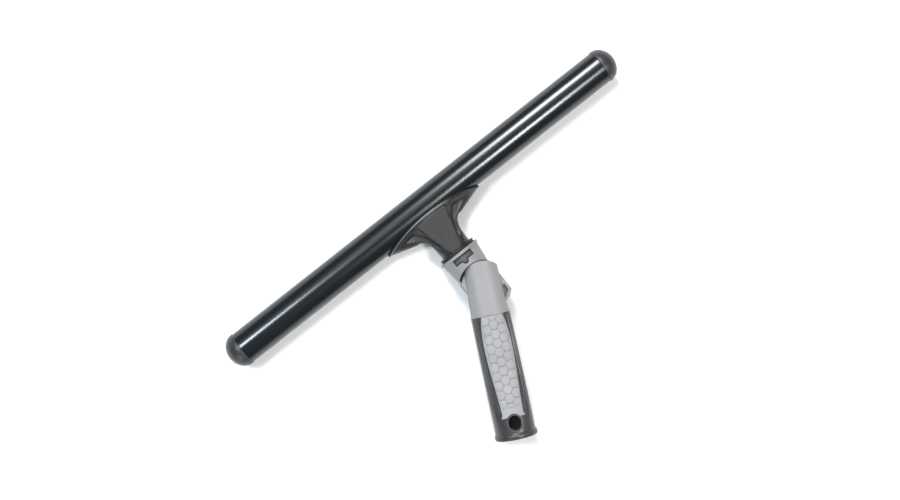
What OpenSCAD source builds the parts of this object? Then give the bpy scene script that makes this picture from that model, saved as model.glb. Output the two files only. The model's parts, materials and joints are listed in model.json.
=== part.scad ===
// Window washer T-bar: a round bar that carries the washing sleeve, on a neck that
// snaps into a swivelling handle with a socket for an extension pole.
//
// The origin is the centre of the pole socket's mouth. +Y runs along the handle to
// the swivel, and +Z is the front of the handle. The bar head is drawn in its own
// frame, whose origin is the middle of the bar's axis, with X along the bar and the
// handle towards -Y, and is then turned about the swivel to the angle it rests at.

/* [Bar] */
// Length of the bar between the rims of its two end caps
bar_l = 331; // [250:1:560]
// Outer diameter of the bar tube
tube_d = 25; // [22:0.5:30]
// Wall of the bar tube
tube_wall = 1.3; // [1:0.1:2]
// How far the dome of an end cap stands out past the tube
cap_dome = 12; // [6:0.5:15]
// How far the rim of an end cap stands proud of the tube
cap_proud = 0.4; // [0.2:0.1:1]
// Height of the straight rim of an end cap
cap_rim_h = 1.2; // [0.8:0.1:3]
// Length of an end cap's plug inside the tube
cap_plug_l = 14; // [8:1:25]

/* [Saddle and neck] */
// Length of the saddle along the bar
saddle_l = 83.4; // [60:0.5:120]
// Wall of the saddle's cheeks, which hold the bar
saddle_wall = 1.5; // [1.2:0.1:3]
// How far the cheeks reach over the bar from its edge, at the middle
saddle_wrap = 7.5; // [4:0.1:9]
// Depth of the saddle's wings below the bar, beside the neck
wing_drop = 6.6; // [4:0.1:12]
// Thickness of the wings at their free edge
wing_edge = 9; // [6:0.5:14]
// Radius of the hollow where a wing runs into the neck
wing_fillet = 7.5; // [4:0.5:12]
// Diameter of the round neck
neck_d = 24.4; // [20:0.2:30]
// Length of the neck from the bar's edge to its flange
neck_l = 27.2; // [22:0.2:40]
// Width of the raised face panel at the saddle
panel_w = 26; // [16:0.5:30]
// Width of the raised face panel at its narrow end
panel_end_w = 8.8; // [4:0.2:14]
// How far the face panel stands proud of the neck
panel_proud = 0.9; // [0.4:0.1:2]
// How far the neck's flange stands out past the spigot
neck_flange_proud = 2.8; // [2:0.1:4]
// Thickness of the neck's flange
neck_flange_h = 1.4; // [1:0.1:3]
// Thickness of the rubber ring between the flange and the collar
neck_ring_h = 1.2; // [0.8:0.1:2.5]
// Distance of each saddle screw from the middle of the bar
saddle_screw_x = 17.5; // [16.5:0.5:30]
// Thickness of the threaded plate inside the bar
nut_plate_t = 2; // [1.5:0.1:3]
// Width of the threaded plate inside the bar
nut_plate_w = 12; // [8:0.5:16]

/* [Collar] */
// Diameter of the neck's spigot, which snaps into the collar
spigot_d = 23.6; // [20:0.1:30]
// Radial clearance of the spigot in the collar
spigot_gap = 0.2; // [0.1:0.05:0.4]
// Wall of the collar at its lip end
collar_wall = 3.1; // [2.6:0.1:5]
// How far the lip stands out from the collar
collar_lip = 1.1; // [0.5:0.1:2]
// Height of the collar's lip
collar_lip_h = 2.2; // [1:0.1:4]
// How much the collar narrows to its far end, on each side
collar_taper = 1.5; // [0.5:0.1:1.8]
// Height of the collar at its sides
collar_side_l = 16.8; // [14:0.1:20]
// Depth of the collar at its middle, down to the hollow that faces the swivel head
collar_mid_l = 11.7; // [11:0.1:16]
// Floor left between the spigot's socket and that hollow
collar_floor = 1.3; // [1:0.1:3]

/* [Latch] */
// Width of the latch window in the collar
window_w = 15.8; // [12:0.2:18]
// Height of the latch window in the collar
window_h = 4.7; // [4:0.1:5]
// Radius of the round thumb bay under the window
bay_r = 2.5; // [2:0.1:2.6]
// Distance of the window's middle from the collar's lip
window_mid = 4.8; // [4.6:0.1:5.2]
// Gap around the latch in its window
window_gap = 0.35; // [0.25:0.05:0.6]
// How far the latch travels when it is pressed
latch_travel = 3.4; // [3:0.1:3.6]
// How far the latch sits below the face of the collar
latch_sink = 0.5; // [0.2:0.1:1]
// Thickness of the latch's foot
latch_foot_t = 1.4; // [1:0.1:1.8]
// Mean radius of the latch spring
spring_r = 2.5; // [2:0.1:2.8]
// Diameter of the latch spring's wire
spring_wire = 0.7; // [0.5:0.05:0.8]
// Turns of the latch spring
spring_turns = 6; // [4:1:8]

/* [Swivel] */
// Angle between the handle and the bar's square line at rest
swivel_rest = 26; // [0:1:60]
// Radius of the swivel head about the pivot
head_r = 17.7; // [16.5:0.1:22]
// Gap between the swivel head and the collar's hollow
head_gap = 0.6; // [0.4:0.05:1]
// Width of the swivel head at its top corners
head_top_w = 25.9; // [22:0.1:28]
// Distance from the pivot to the swivel head's lower edge
head_drop = 22.35; // [21.8:0.05:28]
// Width of the collar's tongue
tongue_w = 28.2; // [24:0.1:30]
// Radius of the tongue's end about the pivot
tongue_r = 20.2; // [18.5:0.1:21]
// Thickness of the tongue at its rim and hub
tongue_t = 11; // [8:0.5:13]
// Thickness of the tongue's thin web
tongue_web_t = 6; // [3:0.5:7]
// Width of the tongue's rim
tongue_rim = 2.2; // [1.5:0.1:3]
// Radius of the tongue's hub
tongue_hub_r = 8.2; // [7:0.1:9]
// Distance below the pivot at which the tongue's face is hollowed
tongue_hollow_y = 8.4; // [2:0.1:12]
// Gap between the tongue and each cheek of the swivel head
cheek_gap = 1; // [0.8:0.1:1.5]
// Diameter of the pivot pin
pin_d = 8; // [6:0.5:9]
// Radial running clearance of the pin in its bush
pin_gap = 0.05; // [0.02:0.01:0.1]
// Wall of the bush on the pin
bush_wall = 1.5; // [1:0.1:2]
// Diameter of the pin's head
pin_head_d = 12; // [10.5:0.5:14]
// Thickness of the pin's head
pin_head_t = 1.7; // [1.2:0.1:2.5]
// Thickness of the cap that covers the pin's head
pin_cap_t = 2; // [1.5:0.1:3]
// Diameter of the thrust washers
thrust_d = 15.6; // [13:0.2:16]
// Thickness of the disc spring
disc_t = 0.3; // [0.2:0.05:0.4]

/* [Handle] */
// Distance from the pivot to the handle's open end
handle_l = 113.9; // [90:0.1:150]
// Diameter of the pole socket
socket_d = 22; // [18:0.5:26]
// Depth of the pole socket
socket_l = 66; // [40:1:67]
// Wall of the grip around the socket
grip_wall = 3.8; // [3.2:0.1:6]
// Squareness of the grip's section: 2 is an ellipse
grip_square = 2.5; // [2:0.1:3.5]
// How far the end flange stands proud of the grip
end_flange_proud = 1.1; // [0.5:0.1:1.2]
// Height of the end flange
end_flange_h = 4.7; // [3:0.1:6]
// Width of the hole for a pole's lock button
lock_w = 9; // [7:0.1:10]
// Length of that hole along the handle
lock_l = 11; // [10.5:0.1:13]
// Distance of that hole's middle from the open end
lock_y = 12.2; // [11.5:0.1:14]
// Depth of the flat cut around the hole
lock_flat = 0.7; // [0.4:0.1:1]
// Length of the head's spigot inside the grip
stem_l = 18; // [12:0.5:20]
// Clearance of that spigot in the grip
stem_gap = 0.1; // [0.05:0.05:0.3]

/* [Grip pads] */
// Distance from the open end to the pads' lower edge
pad_y = 16.4; // [16:0.1:22]
// Length of the back pad
back_pad_l = 52; // [40:1:52]
// Width of a pad at its ends
pad_end_w = 15.8; // [12:0.2:18]
// How much wider a pad is at its widest place
pad_bulge = 5; // [2:0.2:6]
// Depth of a pad's seat in the grip
pad_depth = 1.7; // [1.2:0.1:2.2]
// How far a pad stands proud of the grip
pad_proud = 0.4; // [0.2:0.1:0.8]

/* [Screws] */
// Shank diameter of the saddle screws
saddle_screw_d = 3; // [2.5:0.1:4]
// Shank diameter of the screws that hold the head in the grip
stem_screw_d = 3.2; // [2.5:0.1:3.6]
// Thickness of every screw head
screw_head_t = 1.6; // [1.2:0.1:2]

/* [Hidden] */
$fn = 64;
// Past a face that a cut has to clear
over = 1;
// Pieces of one body are this far apart where they would share a round face
snug = 0.02;
// Play beside the latch's foot in its pocket
foot_play = 0.4;

tube_r = tube_d / 2;
tube_ir = tube_r - tube_wall;
cap_r = tube_r + cap_proud;
sleeve_r = tube_r + saddle_wall;
neck_r = neck_d / 2;
// Distances from the bar's axis towards the handle
wing_at = tube_r + wing_drop;
screw_seat_at = wing_at - 0.6;
flange_at = tube_r + neck_l;
ring_at = flange_at + neck_flange_h;
collar_at = ring_at + neck_ring_h;
hollow_r = head_r + head_gap;
pivot_at = collar_at + collar_mid_l + hollow_r;
spigot_r = spigot_d / 2;
flange_r = spigot_r + neck_flange_proud;
collar_bore_r = spigot_r + spigot_gap;
collar_bore_l = collar_mid_l - collar_floor;
collar_r = collar_bore_r + collar_wall;
spigot_l = neck_ring_h + collar_bore_l - spigot_gap;

// The latch's foot lies under the collar's wall, as high as the bore lets it
window_at = collar_at + window_mid;
bay_at = window_at + window_h / 2;
foot_w = window_w + 1.8;
foot_top = sqrt(pow(spigot_r + spigot_gap / 2, 2) - pow(foot_w / 2, 2));
foot_low = foot_top - latch_foot_t;
foot_from = window_at - window_h / 2 - 0.9;
foot_to = bay_at + bay_r - window_gap + 0.5;
latch_floor = foot_low - latch_travel - foot_play;
spring_seat = -4.5;

// The swivel
tongue_h = tongue_t / 2;
cheek_h = tongue_h + cheek_gap;
pin_r = pin_d / 2;
bush_r = pin_r + pin_gap + bush_wall;
grip_r = socket_d / 2 + grip_wall;
head_bottom_r = grip_r - 0.4;
pin_cap_r = pin_head_d / 2 + 0.5;
// The cap's outer face lies just under the back of the head
pin_cap_z = grip_r - 0.6;
pin_head_z = pin_cap_z - pin_cap_t;
pin_seat_z = pin_head_z - pin_head_t;
thrust_gap = 0.05;
washer_in = pin_r + 0.2;
disc_h = 0.45;

// The grip
pivot_y = handle_l;
grip_top = handle_l - head_drop;
stem_r = socket_d / 2 - stem_gap;
pad_top = grip_top;
lock_straight = lock_l - lock_w;
stem_screw_ys = [grip_top - 4.3, grip_top - 11.6];
screw_head_r = 3;

// ---- Shared shapes ----

// One point of a superellipse: half sizes a and b, angle t, exponent n
function super_point(a, b, t, n) = [
    a * sign(cos(t)) * pow(abs(cos(t)), 2 / n),
    b * sign(sin(t)) * pow(abs(sin(t)), 2 / n)];

function super_outline(a, b, n, count = 60) =
    [for (i = [0 : count - 1]) super_point(a, b, 360 * i / count, n)];

// A point of an arc about a centre
function arc_point(centre, r, t) = centre + r * [cos(t), sin(t)];

function flipped(points) = [for (i = [len(points) - 1 : -1 : 0]) [-points[i][0], points[i][1]]];

// Places its children in the bar head's own frame
module on_bar() {
    translate([0, pivot_y, 0])
        rotate([0, 0, swivel_rest])
            translate([0, pivot_at, 0])
                children();
}

// Stands a shape on the neck's axis, t from the bar's axis, rising to the handle
module on_neck(t) {
    translate([0, -t, 0])
        rotate([90, 0, 0])
            children();
}

// Lies a shape along the handle's axis, from y towards the swivel
module on_handle(y) {
    translate([0, y, 0])
        rotate([-90, 0, 0])
            children();
}

module through(depth) {
    linear_extrude(height = depth, center = true)
        children();
}

// A round wire wound into an open coil along +Z
module coil(mean_r, wire_r, length, turns, sides = 8, steps = 18) {
    rings = turns * steps;
    points = [for (i = [0 : rings], j = [0 : sides - 1])
        let (turn = 360 * i / steps, side = 360 * j / sides, r = mean_r + wire_r * cos(side))
        [r * cos(turn), r * sin(turn), wire_r + (length - 2 * wire_r) * i / rings
            + wire_r * sin(side)]];
    skin = [for (i = [0 : rings - 1], j = [0 : sides - 1])
        let (k = (j + 1) % sides)
        [i * sides + j, i * sides + k, (i + 1) * sides + k, (i + 1) * sides + j]];
    start = [for (j = [sides - 1 : -1 : 0]) j];
    finish = [for (j = [0 : sides - 1]) rings * sides + j];
    polyhedron(points, concat(skin, [start, finish]), convexity = 10);
}

// A pan-head screw that points along +Z, with its head's seat at z = 0
module screw(d, length) {
    difference() {
        union() {
            cylinder(d = d, h = length);
            translate([0, 0, -screw_head_t])
                cylinder(r = screw_head_r, h = screw_head_t);
        }
        translate([0, 0, -screw_head_t - over])
            for (turn = [0, 90])
                rotate([0, 0, turn])
                    translate([-0.4, -1.7, 0])
                        cube([0.8, 3.4, over + 0.9]);
    }
}

// ---- Bar ----

module bar_tube() {
    color([0.06, 0.09, 0.1])
        on_bar()
            difference() {
                rotate([0, 90, 0])
                    cylinder(r = tube_r, h = bar_l, center = true);
                rotate([0, 90, 0])
                    cylinder(r = tube_ir, h = bar_l + 2 * over, center = true);
                for (side = [-1, 1])
                    translate([side * saddle_screw_x, 0, 0])
                        on_neck(0)
                            cylinder(d = saddle_screw_d + 0.2, h = tube_r + over);
            }
}

// A cap about +Z: the dome stands up from the rim and the plug hangs down
module end_cap() {
    dome_h = cap_dome - cap_rim_h;
    plug_r = tube_ir - snug;
    rotate_extrude()
        polygon(concat(
            [[0, -cap_plug_l], [plug_r - 1, -cap_plug_l], [plug_r, -cap_plug_l + 1],
                [plug_r, 0], [cap_r, 0]],
            [for (t = [0 : 7.5 : 90]) [cap_r * cos(t), cap_rim_h + dome_h * sin(t)]]));
}

module end_cap_left() {
    color([0.2, 0.2, 0.22])
        on_bar()
            translate([-bar_l / 2, 0, 0])
                rotate([0, -90, 0])
                    end_cap();
}

module end_cap_right() {
    color([0.2, 0.2, 0.22])
        on_bar()
            translate([bar_l / 2, 0, 0])
                rotate([0, 90, 0])
                    end_cap();
}

// ---- Saddle ----

// Everything on the handle's side of the shallow arc that the cheeks end in
module cheek_outline() {
    half = saddle_l / 2;
    arc_r = (half * half + saddle_wrap * saddle_wrap) / (2 * saddle_wrap);
    intersection() {
        translate([0, -(tube_r - saddle_wrap) - arc_r])
            circle(r = arc_r, $fn = 360);
        translate([-half, -tube_r - saddle_wall])
            square([2 * half, tube_r + saddle_wall]);
    }
}

// The wings: from their tips at the bar, along the free edge, into the neck
module wing_outline() {
    centre = [neck_r + wing_fillet, -wing_at - wing_fillet];
    right = concat(
        [[0, -tube_r + saddle_wrap], [neck_r, -tube_r + saddle_wrap],
            [saddle_l / 2, -tube_r - 0.2]],
        [for (t = [90 : 10 : 180]) arc_point(centre, wing_fillet, t)],
        [[0, centre[1]]]);
    polygon(concat(right, flipped(right)));
}

// Half of the wings' side view: as thick as the sleeve at the bar, thin at the edge
module wing_side() {
    deep = wing_at + wing_fillet;
    polygon([[0, -sleeve_r], [0, sleeve_r], [tube_r - 3, sleeve_r - 1.2],
        [wing_at, wing_edge / 2 + 2], [deep, wing_edge / 2], [deep, -wing_edge / 2],
        [wing_at, -wing_edge / 2 - 2], [tube_r - 3, -sleeve_r + 1.2]]);
}

module face_panel() {
    top = neck_r + panel_proud;
    from = tube_r - saddle_wrap + 1.5;
    to = flange_at - 4;
    through(2 * top)
        polygon([[-panel_w / 2, -from], [panel_w / 2, -from],
            [panel_end_w / 2, -to], [-panel_end_w / 2, -to]]);
}

module latch_pocket() {
    wide = foot_w + 2 * foot_play;
    translate([-wide / 2, -collar_at - collar_bore_l - over, latch_floor])
        cube([wide, collar_at + collar_bore_l + over - foot_from + foot_play, spigot_r]);
    translate([0, -window_at - 0.5, spring_seat])
        cylinder(r = spring_r + spring_wire / 2 + 0.4, h = latch_floor - spring_seat + over);
}

module saddle_neck() {
    color([0.13, 0.13, 0.14])
        on_bar()
            difference() {
                union() {
                    intersection() {
                        rotate([0, 90, 0])
                            cylinder(r = sleeve_r, h = saddle_l, center = true);
                        through(2 * sleeve_r + 2)
                            cheek_outline();
                    }
                    intersection() {
                        through(2 * sleeve_r)
                            wing_outline();
                        rotate([90, 0, -90])
                            through(saddle_l + 2)
                                wing_side();
                    }
                    face_panel();
                    on_neck(tube_r - saddle_wrap + 1.5)
                        cylinder(r = neck_r, h = neck_l + saddle_wrap - 1.5);
                    on_neck(flange_at)
                        cylinder(r = flange_r, h = neck_flange_h);
                    on_neck(ring_at)
                        cylinder(r = spigot_r, h = spigot_l);
                }
                rotate([0, 90, 0])
                    cylinder(r = tube_r, h = saddle_l + 2 * over, center = true);
                latch_pocket();
                for (side = [-1, 1])
                    translate([side * saddle_screw_x, 0, 0]) {
                        on_neck(0)
                            cylinder(d = saddle_screw_d + 0.2, h = wing_at);
                        on_neck(screw_seat_at)
                            cylinder(r = screw_head_r + 0.3, h = wing_fillet);
                    }
            }
}

module nut_plate() {
    color([0.62, 0.62, 0.6])
        on_bar()
            difference() {
                intersection() {
                    rotate([0, 90, 0])
                        cylinder(r = tube_ir, h = 2 * saddle_screw_x + 14, center = true);
                    translate([-saddle_screw_x - 7, -tube_ir, -nut_plate_w / 2])
                        cube([2 * saddle_screw_x + 14, tube_ir, nut_plate_w]);
                }
                rotate([0, 90, 0])
                    cylinder(r = tube_ir - nut_plate_t, h = bar_l, center = true);
                for (side = [-1, 1])
                    translate([side * saddle_screw_x, 0, 0])
                        on_neck(0)
                            cylinder(d = saddle_screw_d + 2 * snug, h = tube_r);
            }
}

module saddle_screws() {
    color([0.6, 0.6, 0.62])
        on_bar()
            for (side = [-1, 1])
                translate([side * saddle_screw_x, -screw_seat_at, 0])
                    rotate([-90, 0, 0])
                        screw(saddle_screw_d, screw_seat_at - tube_ir + nut_plate_t);
}

module neck_ring() {
    color([0.05, 0.05, 0.05])
        on_bar()
            on_neck(ring_at)
                difference() {
                    cylinder(r = flange_r - 0.5, h = neck_ring_h);
                    translate([0, 0, -over])
                        cylinder(r = spigot_r + snug, h = neck_ring_h + 2 * over);
                }
}

// ---- Collar ----

module collar_body() {
    end_r = collar_r - collar_taper;
    rotate_extrude()
        polygon([[0, 0], [collar_r + collar_lip - 0.4, 0], [collar_r + collar_lip, 0.4],
            [collar_r + collar_lip, collar_lip_h], [collar_r, collar_lip_h + 0.8],
            [end_r, collar_side_l], [0, collar_side_l]]);
}

// The tongue's outline about the pivot, with the collar towards +Y
module tongue_outline(shrink) {
    half = tongue_w / 2 - shrink;
    intersection() {
        translate([-half, -tongue_r])
            square([2 * half, tongue_r + hollow_r]);
        union() {
            circle(r = tongue_r - shrink, $fn = 128);
            translate([-half, 0])
                square([2 * half, hollow_r]);
        }
    }
}

module tongue() {
    difference() {
        through(tongue_t)
            tongue_outline(0);
        for (side = [-1, 1])
            translate([0, 0, side * (tongue_web_t + tongue_t) / 4 + side * 0.01])
                through((tongue_t - tongue_web_t) / 2 + 0.02)
                    difference() {
                        intersection() {
                            tongue_outline(tongue_rim);
                            translate([-tongue_w, -tongue_r - over])
                                square([2 * tongue_w, tongue_r + over - tongue_hollow_y]);
                        }
                        circle(r = tongue_hub_r);
                    }
        cylinder(r = bush_r, h = tongue_t + 2 * over, center = true);
    }
}

// The latch window's outline in the bar head's frame
module window_outline(shrink) {
    half = window_w / 2 - shrink;
    low = window_at + window_h / 2 - shrink;
    translate([-half, -low])
        square([2 * half, window_h - 2 * shrink]);
    translate([0, -bay_at])
        circle(r = bay_r - shrink, $fn = 48);
}

module swivel_collar() {
    color([0.62, 0.63, 0.64])
        on_bar()
            difference() {
                union() {
                    difference() {
                        on_neck(collar_at)
                            collar_body();
                        translate([0, -pivot_at, 0])
                            cylinder(r = hollow_r, h = 4 * collar_r, center = true, $fn = 128);
                    }
                    translate([0, -pivot_at, 0])
                        tongue();
                }
                on_neck(collar_at - over)
                    cylinder(r = collar_bore_r, h = collar_bore_l + over);
                linear_extrude(height = 2 * collar_r)
                    window_outline(0);
            }
}

module pivot_bush() {
    color([0.75, 0.6, 0.35])
        translate([0, pivot_y, 0])
            difference() {
                cylinder(r = bush_r - snug, h = tongue_t, center = true);
                cylinder(r = pin_r + pin_gap, h = tongue_t + 2 * over, center = true);
            }
}

// ---- Latch ----

module neck_latch() {
    color([0.25, 0.26, 0.24])
        on_bar() {
            intersection() {
                translate([0, 0, foot_top - 0.3])
                    linear_extrude(height = collar_r)
                        window_outline(window_gap);
                on_neck(collar_at)
                    cylinder(r = collar_r - latch_sink, h = collar_mid_l);
            }
            translate([-foot_w / 2, -foot_to, foot_low])
                cube([foot_w, foot_to - foot_from, latch_foot_t]);
        }
}

module latch_spring() {
    color([0.7, 0.7, 0.72])
        on_bar()
            translate([0, -window_at - 0.5, spring_seat])
                coil(spring_r, spring_wire / 2, foot_low - spring_seat - snug, spring_turns);
}

// ---- Swivel head ----

module head_outline() {
    slope = (head_bottom_r - head_top_w / 2) / (head_drop + head_r * 0.7);
    top_half = head_top_w / 2 - slope * head_r * 0.3;
    intersection() {
        polygon([[-top_half, head_r], [top_half, head_r],
            [head_bottom_r, -head_drop], [-head_bottom_r, -head_drop]]);
        union() {
            circle(r = head_r, $fn = 128);
            translate([-grip_r, -head_drop])
                square([2 * grip_r, head_drop]);
        }
    }
}

module swivel_head() {
    slot_low = tongue_r + 0.6;
    color([0.7, 0.71, 0.72])
        translate([0, pivot_y, 0])
            difference() {
                union() {
                    intersection() {
                        through(2 * grip_r)
                            head_outline();
                        on_handle(-head_drop)
                            linear_extrude(height = head_drop + head_r)
                                polygon(super_outline(head_bottom_r, head_bottom_r,
                                    grip_square));
                    }
                    on_handle(-head_drop - stem_l)
                        cylinder(r = stem_r, h = stem_l + 1);
                }
                translate([-grip_r, -slot_low, -cheek_h])
                    cube([2 * grip_r, slot_low + head_r + over, 2 * cheek_h]);
                translate([0, 0, -grip_r - over])
                    cylinder(r = pin_r + snug, h = grip_r + over + pin_seat_z);
                translate([0, 0, -grip_r - over])
                    cylinder(r = pin_cap_r + snug, h = grip_r + over - pin_seat_z);
                for (y = stem_screw_ys)
                    translate([0, y - pivot_y, -grip_r])
                        cylinder(d = stem_screw_d + 2 * snug, h = grip_r - 4);
            }
}

module pivot_pin() {
    color([0.75, 0.75, 0.77])
        translate([0, pivot_y, 0]) {
            translate([0, 0, -pin_seat_z])
                cylinder(r = pin_r, h = 2 * pin_seat_z - 0.3);
            translate([0, 0, -pin_head_z])
                cylinder(d = pin_head_d, h = pin_head_t);
        }
}

module pin_cap() {
    color([0.7, 0.71, 0.72])
        translate([0, pivot_y, -pin_cap_z])
            cylinder(r = pin_cap_r, h = pin_cap_t);
}

module washer(z, t) {
    translate([0, pivot_y, z])
        difference() {
            cylinder(d = thrust_d, h = t);
            translate([0, 0, -over])
                cylinder(r = washer_in, h = t + 2 * over);
        }
}

module thrust_washer_front() {
    color([0.85, 0.83, 0.78])
        washer(tongue_h + thrust_gap, cheek_gap - thrust_gap - disc_h);
}

module thrust_washer_back() {
    color([0.85, 0.83, 0.78])
        washer(-cheek_h, cheek_gap - thrust_gap);
}

// A shallow cone between the front washer and the front cheek
module disc_spring() {
    outer = thrust_d / 2 - 0.5;
    color([0.6, 0.6, 0.62])
        translate([0, pivot_y, cheek_h - disc_h])
            rotate_extrude()
                polygon([[washer_in, disc_h - disc_t], [outer, 0], [outer, disc_t],
                    [washer_in, disc_h]]);
}

// ---- Grip ----

// Half width of a pad at s, from 0 at the top to 1 at the lower edge
function pad_half(s) = pad_end_w / 2 + pad_bulge / 2 * pow(max(0, sin(180 * pow(s, 0.6))), 1.5);

module pad_outline(top, grow) {
    full = pad_top - pad_y;
    steps = 24;
    first = (pad_top - top) / full;
    right = [for (i = [0 : steps])
        let (s = first + (1 - first) * i / steps)
        [pad_half(s) + grow, pad_top - s * full]];
    difference() {
        polygon(concat(right, flipped(right)));
        lock_outline(1.4);
    }
}

module lock_outline(grow) {
    for (side = [-1, 1])
        translate([0, lock_y + side * lock_straight / 2])
            circle(r = lock_w / 2 + grow);
    translate([-lock_w / 2 - grow, lock_y - lock_straight / 2])
        square([lock_w + 2 * grow, lock_straight]);
}

module grip_prism(grow, from, to) {
    on_handle(from)
        linear_extrude(height = to - from)
            polygon(super_outline(grip_r + grow, grip_r + grow, grip_square));
}

// The shell of the grip's section that a pad fills, on the front
module pad_seat(top, depth, proud, gap) {
    difference() {
        intersection() {
            linear_extrude(height = 2 * grip_r)
                pad_outline(top, -gap);
            grip_prism(proud, pad_y - over, top + over);
        }
        grip_prism(-depth, pad_y - 2 * over, top + 2 * over);
    }
}

module end_flange() {
    r = grip_r + end_flange_proud;
    on_handle(0)
        rotate_extrude()
            polygon([[0, 0], [r - 0.9, 0], [r - 0.25, 0.25], [r, 0.9],
                [r, end_flange_h - 1.2], [r - 0.5, end_flange_h - 0.4], [r - 1.4, end_flange_h],
                [0, end_flange_h]]);
}

module handle_core() {
    color([0.12, 0.12, 0.13])
        difference() {
            union() {
                grip_prism(0, 1, grip_top);
                end_flange();
            }
            on_handle(-over)
                cylinder(d = socket_d, h = socket_l + over);
            on_handle(grip_top - stem_l)
                cylinder(d = socket_d, h = stem_l + over);
            pad_seat(pad_top + over, pad_depth, over, 0);
            rotate([0, 180, 0])
                pad_seat(pad_y + back_pad_l, pad_depth, over, 0);
            linear_extrude(height = 2 * grip_r)
                lock_outline(0);
            translate([0, 0, grip_r - lock_flat])
                linear_extrude(height = grip_r)
                    lock_outline(1.1);
            for (y = stem_screw_ys) {
                translate([0, y, -grip_r - over])
                    cylinder(r = screw_head_r + 0.3, h = over + 2);
                translate([0, y, -grip_r - over])
                    cylinder(d = stem_screw_d + 0.2, h = grip_r);
            }
        }
}

module grip_pad_front() {
    color([0.68, 0.69, 0.7])
        pad_seat(pad_top - snug, pad_depth, pad_proud, snug);
}

module grip_pad_back() {
    color([0.68, 0.69, 0.7])
        rotate([0, 180, 0])
            pad_seat(pad_y + back_pad_l - snug, pad_depth, pad_proud, snug);
}

module stem_screws() {
    color([0.6, 0.6, 0.62])
        for (y = stem_screw_ys)
            translate([0, y, -grip_r + 2])
                screw(stem_screw_d, grip_r - 7);
}

bar_tube();
end_cap_left();
end_cap_right();
saddle_neck();
nut_plate();
saddle_screws();
neck_ring();
swivel_collar();
pivot_bush();
neck_latch();
latch_spring();
handle_core();
swivel_head();
grip_pad_front();
grip_pad_back();
pivot_pin();
pin_cap();
thrust_washer_front();
thrust_washer_back();
disc_spring();
stem_screws();
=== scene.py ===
import json
import math

import bpy
import numpy as np
from mathutils import Matrix, Vector


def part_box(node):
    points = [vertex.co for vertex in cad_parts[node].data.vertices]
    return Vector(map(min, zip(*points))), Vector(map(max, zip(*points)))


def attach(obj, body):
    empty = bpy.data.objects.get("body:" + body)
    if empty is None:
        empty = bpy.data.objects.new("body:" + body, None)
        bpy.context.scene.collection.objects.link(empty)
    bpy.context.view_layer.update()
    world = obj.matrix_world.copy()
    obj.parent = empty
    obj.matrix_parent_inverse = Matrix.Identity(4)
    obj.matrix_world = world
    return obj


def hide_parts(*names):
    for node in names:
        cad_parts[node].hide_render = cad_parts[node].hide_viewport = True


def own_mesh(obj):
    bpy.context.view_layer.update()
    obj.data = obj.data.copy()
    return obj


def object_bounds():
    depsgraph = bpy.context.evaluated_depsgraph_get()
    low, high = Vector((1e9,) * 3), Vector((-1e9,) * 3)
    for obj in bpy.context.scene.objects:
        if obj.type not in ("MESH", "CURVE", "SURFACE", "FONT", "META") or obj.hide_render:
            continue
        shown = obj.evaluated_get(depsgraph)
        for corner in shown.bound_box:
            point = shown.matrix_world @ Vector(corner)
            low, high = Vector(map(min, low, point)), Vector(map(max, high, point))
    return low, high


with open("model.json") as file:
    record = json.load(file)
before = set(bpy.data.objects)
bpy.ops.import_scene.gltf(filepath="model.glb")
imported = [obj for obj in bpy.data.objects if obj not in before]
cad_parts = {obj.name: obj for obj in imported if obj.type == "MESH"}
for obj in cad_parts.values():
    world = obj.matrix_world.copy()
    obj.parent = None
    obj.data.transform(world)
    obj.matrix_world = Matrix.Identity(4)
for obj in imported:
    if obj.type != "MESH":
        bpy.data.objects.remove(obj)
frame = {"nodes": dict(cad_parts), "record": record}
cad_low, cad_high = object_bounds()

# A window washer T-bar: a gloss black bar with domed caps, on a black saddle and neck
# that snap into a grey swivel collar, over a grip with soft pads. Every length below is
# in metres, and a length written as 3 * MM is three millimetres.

MM = 0.001
TURN = 2 * math.pi


# ---------------------------------------------------------------- places from the frame

record = frame["record"]
mounts = {m["name"]: m for m in record["mounts"]}
joints = {j["name"]: j for j in record["behaviour"]["joints"]}

PIVOT = np.array(joints["swivel"]["pos_m"], float)
BAR_MID = np.array(mounts["sleeve_bar"]["pos_m"], float)
BAR_X = np.array(mounts["sleeve_bar"]["axis"], float)
UP = np.array([0.0, 0.0, 1.0])
BAR_Y = np.cross(UP, BAR_X)
BAR_ANGLE = math.atan2(BAR_X[1], BAR_X[0])
PIVOT_AT = float(np.linalg.norm(BAR_MID - PIVOT))


def box_size(node):
    """A node's size along X, Y and Z at rest."""
    low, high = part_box(node)
    return high - low


TUBE_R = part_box("bar_tube")[1].z
TUBE_WALL = 1.3 * MM
TUBE_IR = TUBE_R - TUBE_WALL
BAR_L = (box_size("bar_tube").x - 2 * TUBE_R * math.sin(BAR_ANGLE)) / math.cos(BAR_ANGLE)
CAP_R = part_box("end_cap_right")[1].z
FLANGE_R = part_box("saddle_neck")[1].z
LIP_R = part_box("swivel_collar")[1].z
HEAD_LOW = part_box("handle_core")[1].y
HEAD_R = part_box("swivel_head")[1].y - PIVOT[1]
HEAD_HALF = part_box("swivel_head")[1].x
END_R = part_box("handle_core")[1].z
PAD_TOP_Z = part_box("grip_pad_front")[1].z
PAD_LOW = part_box("grip_pad_front")[0].y
BACK_PAD_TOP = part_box("grip_pad_back")[1].y
SOCKET_R = mounts["pole_socket"]["dims"]["r_mm"] * MM
SOCKET_L = mounts["pole_socket"]["dims"]["length_mm"] * MM


def on_bar(points):
    """Points (x along the bar, t towards the handle, z up) from the bar's middle, in the row's frame."""
    p = np.asarray(points, float)
    return BAR_MID + p[..., :1] * BAR_X - p[..., 1:2] * BAR_Y + p[..., 2:3] * UP


# ---------------------------------------------------------------- mesh making

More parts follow.
